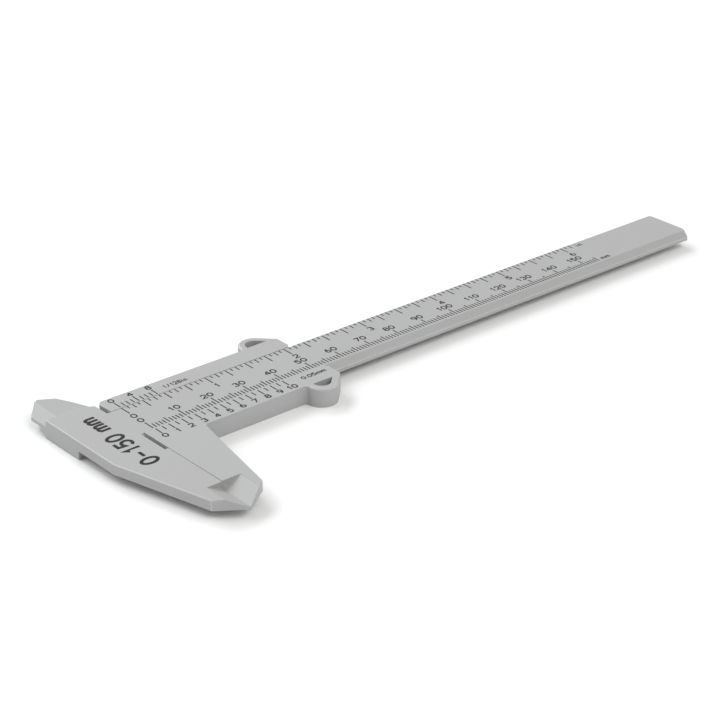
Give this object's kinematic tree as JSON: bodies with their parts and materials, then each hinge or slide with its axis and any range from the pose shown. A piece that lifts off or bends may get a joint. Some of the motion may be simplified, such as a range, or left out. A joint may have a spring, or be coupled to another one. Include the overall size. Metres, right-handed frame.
{
  "type": "vernier caliper",
  "caption": "Plastic vernier caliper with a dovetail beam, outside and inside jaws, and a slider with two finger loops.",
  "frame": {"origin": "on the back face of the slider, under the zero marks, on the beam's centre line", "axes": "+X along the beam from the jaws to the free end, +Y towards the inside jaws, +Z out of the printed face"},
  "size_m": [0.2083, 0.0737, 0.0054],
  "materials": {
    "beam_plastic": "light grey moulded ABS, satin",
    "slider_plastic": "light grey moulded ABS, satin",
    "scale_ink": "dark grey printed ink"
  },
  "bodies": {
    "beam": {"main_beam": "beam_plastic", "metric_graduations": "scale_ink", "metric_numerals": "scale_ink", "inch_graduations": "scale_ink", "inch_numerals": "scale_ink", "metric_unit_mark": "scale_ink", "inch_unit_mark": "scale_ink", "range_print": "scale_ink"},
    "slider": {"slider": "slider_plastic", "metric_vernier_graduations": "scale_ink", "metric_vernier_numerals": "scale_ink", "metric_vernier_resolution": "scale_ink", "inch_vernier_graduations": "scale_ink", "inch_vernier_numerals": "scale_ink", "inch_vernier_resolution": "scale_ink"}
  },
  "joints": [
    {"name": "slider_travel", "type": "slide", "parent": "beam", "child": "slider", "axis": [1, 0, 0], "range_m": [0, 0.15]}
  ]
}
